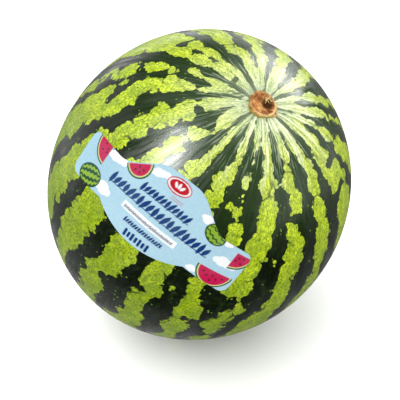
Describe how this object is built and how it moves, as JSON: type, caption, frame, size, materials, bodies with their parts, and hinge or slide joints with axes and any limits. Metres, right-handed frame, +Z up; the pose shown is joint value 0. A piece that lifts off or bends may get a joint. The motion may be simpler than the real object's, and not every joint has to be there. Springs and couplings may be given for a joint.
{
  "type": "mini watermelon",
  "caption": "Whole oval mini watermelon with a striped rind, a corky stalk scar and a film banner on its side, resting on a small flat spot.",
  "frame": {"origin": "on the surface the fruit rests on, under the centre of its bounding box", "axes": "+Z up, the stem end leans about 32 degrees from +Z towards +X and -Y, and the banner faces -Y"},
  "size_m": [0.1524, 0.1568, 0.1606],
  "materials": {
    "rind": "waxy, semi-gloss",
    "stalk_cork": "matte",
    "banner_film": "satin"
  },
  "bodies": {
    "root": {"melon": "rind", "stem": "stalk_cork", "label": "banner_film"}
  },
  "joints": []
}
